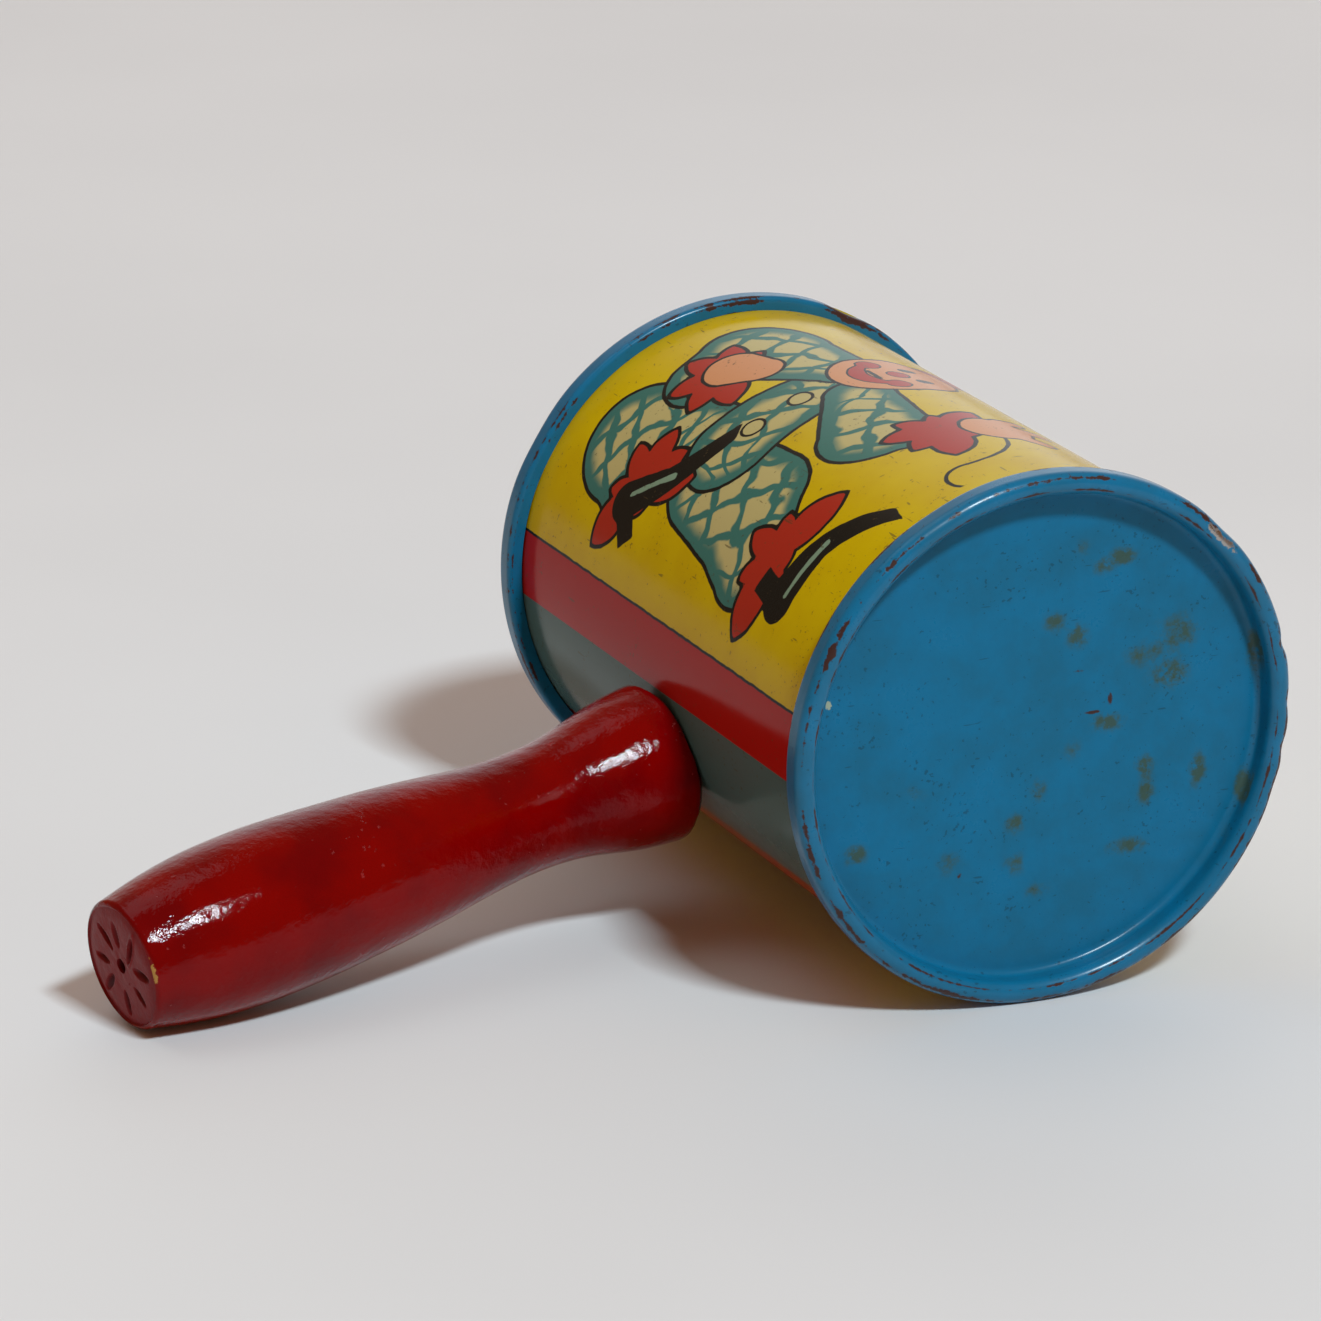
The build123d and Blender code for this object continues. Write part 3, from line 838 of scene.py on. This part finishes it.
right_leg, left_leg, torso = (drawn_edge(output) for output in stored("legs_and_torso"))
right_arm, left_arm, frills = (drawn_edge(output) for output in stored("arms_and_frills"))
shoes, glints, bare_skin = (drawn_edge(output) for output in stored("shoes_and_skin"))
blush, eyes, pompoms = (drawn_edge(output) for output in stored("face_and_pompoms"))
net_one, net_other, stripes = stored("net_and_stripes")
string, string_end, inner_side = stored("string_and_side")

ground_tone = ramp(tree, noise(tree, print_place, GROUND_CLOUDS, 4.0, 0.6), 0.3, 0.7)
colour = blended(tree, ground_tone, MUSTARD, MUSTARD_DULL)
stripe_edge = maths(tree, "SUBTRACT", drawn_edge(stripes), STRIPE_OUTER)
colour = placed(
    tree, printed_part, Under=colour, Ink=STRIPE_RED, Line_Ink=BLACK_INK,
    Distance=stripe_edge, Line=FINE_LINE,
)["Colour"]
teal_edge = maths(tree, "SUBTRACT", stripes, STRIPE_HALF)
colour = blended(tree, ramp(tree, teal_edge, 0.08, -0.08), colour, STRIPE_TEAL)
string_line = ramp(tree, maths(tree, "ABSOLUTE", drawn_edge(string)), 0.30, 0.20)
string_mask = maths(tree, "MULTIPLY", string_line, ramp(tree, string_end, 0.1, -0.1))
colour = blended(tree, string_mask, colour, BLACK_INK)
slack = maths(tree, "SUBTRACT", noise(tree, print_place, NET_SLACK, 2.0), 0.5)
loose = maths(tree, "MULTIPLY", slack, 1.5)
strings_one = maths(tree, "PINGPONG", maths(tree, "ADD", net_one, loose), 0.5)
strings_other = maths(tree, "PINGPONG", maths(tree, "SUBTRACT", net_other, loose), 0.5)
strings = maths(tree, "MULTIPLY_ADD", shaky, 0.12, maths(tree, "MINIMUM", strings_one, strings_other))
uneven = maths(tree, "SUBTRACT", noise(tree, print_place, SUIT_SHADE, 2.0), 0.15)
for part in (right_leg, left_leg, torso, right_arm, left_arm):
    colour = placed(
        tree, netted_part, Under=colour, Teal=TEAL_INK, Cream=CREAM_INK, Line_Ink=BLACK_INK,
        Distance=part, Strings=strings, Uneven=uneven,
    )["Colour"]
for edge, flat_ink, line in (
    (frills, RED_INK, DRAWN_LINE), (shoes, BLACK_INK, 0.1), (bare_skin, SKIN_INK, 0.22),
    (blush, RED_INK, 0.12), (pompoms, CREAM_INK, 0.2), (glints, GLINT_INK, 0.0), (eyes, BLACK_INK, 0.0),
):
    colour = placed(
        tree, printed_part, Under=colour, Ink=flat_ink, Line_Ink=BLACK_INK, Distance=edge, Line=line
    )["Colour"]
print_specks = placed(tree, fine_specks, Place=print_place, Spacing=PRINT_SPECKS, Amount=0.115)["Mask"]
print_scuffs = placed(tree, scuffs, Place=print_place, Spacing=PRINT_SCUFFS, Amount=0.075)["Mask"]
soiled = maths(tree, "MAXIMUM", print_specks, print_scuffs)
colour = blended(tree, maths(tree, "MULTIPLY", soiled, 0.6), colour, SOIL)
colour = blended(tree, inner_side, colour, BARE_TIN)
tree.links.new(colour, shader.inputs["Base Color"])
tree.links.new(inner_side, shader.inputs["Metallic"])
shader.inputs["Specular IOR Level"].default_value = VARNISH_SPECULAR
varnish = noise(tree, print_place, VARNISH_RIPPLE, 3.0, 0.6)
tree.links.new(maths(tree, "MULTIPLY_ADD", varnish, 0.12, VARNISH_ROUGHNESS), shader.inputs["Roughness"])
bump = wire(tree, "ShaderNodeBump", {"Strength": 0.2, "Distance": 0.00005, "Height": varnish})
tree.links.new(bump.outputs[0], shader.inputs["Normal"])
show(wall_mesh, wall_material, "can", "printed_tinplate", "drum_wall")


# The handle: hardwood turned with a bulbous foot, a waist and a belly, dipped in gloss red
# enamel and nailed on from inside the can. Its flat end still shows the lathe's marks:
# a centre hole, with a slot for each tooth of the drive centre.
FOOT_REACH = 30.87 * MM
HANDLE_TILT = math.radians(8.70)
HANDLE_LEAN = math.radians(10.85)
HANDLE_LENGTH = 69.4 * MM
FOOT_SIDE = [(0.0, -3.0), (3.4, -2.78), (6.4, -2.0), (8.35, -0.95), (9.12, 0.0)]
HANDLE_SIDE = [
    (9.12, 0), (8.70, 4.2), (7.28, 11.1), (6.87, 20.8), (8.01, 31.2), (8.90, 41.6), (9.35, 52.1),
    (8.60, 62.5), (7.32, 68.7),
]
END_ROUND = 0.7 * MM
END_FLAT = 6.62 * MM
HOLE_RADIUS = 0.85 * MM
HOLE_DEPTH = 1.6 * MM
SLOT_COUNT = 8
SLOT_HALF_WIDTH = 0.62 * MM
SLOT_DEPTH = 0.75 * MM
SLOT_INNER = 2.5 * MM
SLOT_OUTER = 5.2 * MM
WOOD_CHIP = -78  # where a flake of enamel is missing at the end's edge, in degrees
CHIP_SPREAD = 13
CHIP_WIDTH = 0.42  # in mm
HANDLE_COLUMNS = 256
HOLE_EDGE = 0.25 * MM
BURR = 0.12 * MM  # lip pushed up round each slot
END_SWELL = 0.25 * MM  # how far the end falls away to its edge, from this radius
END_SWELL_START = 5.0 * MM
END_SWELL_RUN = 1.6 * MM
END_WAVES = 0.11 * MM
SIDE_WAVES = 0.05 * MM
FOOT_CLEARANCE = 0.08 * MM


def smooth_through(places, values, at):
    """The cubic spline through some values, level in its bend at both ends, read at new places."""
    places, values = np.asarray(places, float), np.asarray(values, float)
    gap = np.diff(places)
    slope = np.diff(values) / gap
    count = len(places)
    system = np.eye(count)
    answer = np.zeros(count)
    middle = np.arange(1, count - 1)
    system[middle, middle - 1] = gap[:-1]
    system[middle, middle] = 2 * (gap[:-1] + gap[1:])
    system[middle, middle + 1] = gap[1:]
    answer[1:-1] = 6 * np.diff(slope)
    curve = np.linalg.solve(system, answer)
    cell = np.clip(np.searchsorted(places, at) - 1, 0, count - 2)
    left, right, wide = at - places[cell], places[cell + 1] - at, gap[cell]
    bent = (curve[cell] * right**3 + curve[cell + 1] * left**3) / (6 * wide)
    from_left = (values[cell] / wide - curve[cell] * wide / 6) * right
    from_right = (values[cell + 1] / wide - curve[cell + 1] * wide / 6) * left
    return bent + from_left + from_right


def handle_path():
    """Radius and place along the handle, from the foot's middle out to the middle of the end."""
    foot_radius, foot_place = np.array(FOOT_SIDE).T
    side_radius, side_place = np.array(HANDLE_SIDE).T
    low = np.linspace(0.25, 9.12, 26)
    foot = np.column_stack([low, np.interp(low, foot_radius, foot_place)])
    run = np.linspace(0, side_place[-1], 120)[1:]
    side = np.column_stack([smooth_through(side_place, side_radius, run), run])
    arc = bend((END_FLAT / MM, (HANDLE_LENGTH - END_ROUND) / MM), END_ROUND / MM, 12, 90, 6)
    face = np.linspace(END_FLAT / MM - 0.1, 0.12, 62)
    end = np.column_stack([face, np.full(face.size, HANDLE_LENGTH / MM)])
    return np.vstack([foot, side, arc, end]) * MM


tilt_out, lean_out = math.cos(HANDLE_TILT), math.sin(HANDLE_LEAN)
outward = np.array([-tilt_out * math.cos(HANDLE_LEAN), -tilt_out * lean_out, -math.sin(HANDLE_TILT)])
foot_turn = math.radians(HANDLE_PLACE)
foot_centre = can_centre + FOOT_REACH * np.array([-math.cos(foot_turn), 0, math.sin(foot_turn)])
across_one = np.array([outward[2], 0, -outward[0]])
across_one /= np.linalg.norm(across_one)
across_other = np.cross(outward, across_one)

path = handle_path()
radius, along = path[:, :1], path[:, 1:]
turned = np.linspace(0, 2 * np.pi, HANDLE_COLUMNS, endpoint=False)
on_end = along >= HANDLE_LENGTH - 0.001 * MM
chance = np.random.default_rng(31)
sunk = HOLE_DEPTH * np.clip((HOLE_RADIUS - radius) / HOLE_EDGE, 0, 1) + 0 * turned
for number in range(SLOT_COUNT):
    toward = 2 * np.pi * number / SLOT_COUNT + chance.uniform(-0.06, 0.06)
    middle = (SLOT_INNER + SLOT_OUTER) / 2 + chance.uniform(-0.3, 0.5) * MM
    reach_out = (SLOT_OUTER - SLOT_INNER) / 2 * chance.uniform(0.75, 1.2)
    half = SLOT_HALF_WIDTH * chance.uniform(0.6, 1.05)
    slant = chance.uniform(-0.35, 0.35)
    x, y = radius * np.cos(turned - toward) - middle, radius * np.sin(turned - toward)
    oval = np.hypot(x / reach_out, (y - slant * x) / half)
    cut = SLOT_DEPTH * chance.uniform(0.7, 1.2) * np.clip(1.15 - oval, 0, 1) ** 0.8
    raised = BURR * np.exp(-(((oval - 1.35) / 0.22) ** 2))
    sunk = np.maximum(sunk, cut) - raised
sunk = sunk * on_end
rounded = END_SWELL * np.clip((radius - END_SWELL_START) / END_SWELL_RUN, 0, 1) ** 2 * on_end
lumps = waves(turned, radius / (2 * MM), 17, END_WAVES) * np.clip(radius / (1.5 * MM), 0, 1)
sunk = sunk + lumps * on_end
uneven_side = waves(turned, along / (9 * MM), 7, SIDE_WAVES) * ~on_end
reach = np.maximum(radius + uneven_side, 0)
points = (
    foot_centre
    + (along - sunk - rounded)[..., None] * outward
    + (reach * np.cos(turned))[..., None] * across_one
    + (reach * np.sin(turned))[..., None] * across_other
)
from_axis = points[..., [0, 2]] - can_centre[[0, 2]]
far = np.linalg.norm(from_axis, axis=-1, keepdims=True)
pressed = np.maximum(far, WALL_RADIUS + FOOT_CLEARANCE) / far
points[..., [0, 2]] = can_centre[[0, 2]] + from_axis * pressed
handle_mesh = skin("handle_enamelled", points, [points[0].mean(0), points[-1].mean(0)])
from_chip = (np.degrees(turned) - WOOD_CHIP + 180) % 360 - 180
from_edge = (along - HANDLE_LENGTH + (END_FLAT + END_ROUND - radius) * on_end) / MM
flaked = np.exp(-((from_chip / CHIP_SPREAD) ** 2) - (from_edge / CHIP_WIDTH) ** 2)
store(handle_mesh, "turning", [(on_end + 0 * reach).ravel(), (sunk / MM).ravel(), flaked.ravel()])

ENAMEL_RED = (0.205, 0.0, 0.0, 1)
ENAMEL_DEEP = (0.140, 0.0, 0.001, 1)
ENAMEL_PALE = (0.36, 0.035, 0.035, 1)
END_RED = (0.185, 0.008, 0.010, 1)
# painted shade: the dark red laid into the end's centre hole and slots
END_SLOT_SHADE = (0.075, 0.004, 0.006, 1)
WOOD_OCHRE = (0.42, 0.22, 0.05, 1)
ENAMEL_PEEL = 620.0  # noises, to a metre
ENAMEL_RUNS = 110.0
ENAMEL_PITS = 1100.0
END_CLOUDS = 1300.0
ENAMEL_ROUGHNESS = 0.065
ENAMEL_SPECULAR = 0.17

handle_material, tree, shader = material_with_shader("red_enamel_on_wood")
handle_place = wire(tree, "ShaderNodeTexCoord").outputs["Object"]
orange_peel = noise(tree, handle_place, ENAMEL_PEEL, 4.0, 0.6)
turning = wire(tree, "ShaderNodeAttribute", attribute_name="turning").outputs["Vector"]
end_mask, sunk_depth, flaked_level = wire(tree, "ShaderNodeSeparateXYZ", {0: turning}).outputs
run_tone = ramp(tree, noise(tree, handle_place, ENAMEL_RUNS, 3.0), 0.35, 0.7)
colour = blended(tree, run_tone, ENAMEL_RED, ENAMEL_DEEP)
pit_mask = placed(tree, fine_specks, Place=handle_place, Spacing=ENAMEL_PITS, Amount=0.085)["Mask"]
colour = blended(tree, maths(tree, "MULTIPLY", pit_mask, 0.4), colour, ENAMEL_PALE)
end_tone = ramp(tree, noise(tree, handle_place, END_CLOUDS, 3.0, 0.6), 0.3, 0.7)
end_colour = blended(tree, end_tone, END_RED, ENAMEL_RED)
# Painted shade: the centre hole and slots are coloured darker the deeper they sink.
end_colour = blended(tree, ramp(tree, sunk_depth, 0.05, 0.5), end_colour, END_SLOT_SHADE)
colour = blended(tree, end_mask, colour, end_colour)
flake = maths(tree, "MULTIPLY", flaked_level, maths(tree, "MULTIPLY_ADD", end_tone, 1.4, 0.2))
colour = blended(tree, ramp(tree, flake, 0.5, 0.7), colour, WOOD_OCHRE)
tree.links.new(colour, shader.inputs["Base Color"])
shader.inputs["Specular IOR Level"].default_value = ENAMEL_SPECULAR
side_gloss = maths(tree, "MULTIPLY_ADD", pit_mask, 0.25, ENAMEL_ROUGHNESS)
tree.links.new(maths(tree, "MULTIPLY_ADD", end_mask, 0.36, side_gloss), shader.inputs["Roughness"])
height = maths(tree, "MULTIPLY_ADD", pit_mask, -0.8, orange_peel)
bump = wire(tree, "ShaderNodeBump", {"Strength": 0.6, "Distance": 0.00022, "Height": height})
tree.links.new(bump.outputs[0], shader.inputs["Normal"])
show(handle_mesh, handle_material, "can", "red_enamelled_wood", "handle")


# The nail and the loose shot: drawn wire with a flat head, and rolled steel balls, all
# inside the can. Both keep the shapes they were made with and only get their steel.
STEEL = (0.50, 0.49, 0.47, 1)
STEEL_DARK = (0.23, 0.22, 0.21, 1)


def steel(name, scale, roughness):
    """Bright steel with a darker cloudy film, at a scale to suit the piece."""
    material, tree, shader = material_with_shader(name)
    place = wire(tree, "ShaderNodeTexCoord").outputs["Object"]
    film = ramp(tree, noise(tree, place, scale, 4.0, 0.6), 0.4, 0.7)
    tree.links.new(blended(tree, film, STEEL, STEEL_DARK), shader.inputs["Base Color"])
    tree.links.new(maths(tree, "MULTIPLY_ADD", film, 0.2, roughness), shader.inputs["Roughness"])
    shader.inputs["Metallic"].default_value = 1.0
    return material


nail_steel = steel("nail_wire", 900.0, 0.3)
shot_steel = steel("rolled_shot", 1400.0, 0.18)
for name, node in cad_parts.items():
    if name == "handle_nail" or name.startswith("shot_"):
        node.data.materials.clear()
        node.data.materials.append(nail_steel if name == "handle_nail" else shot_steel)
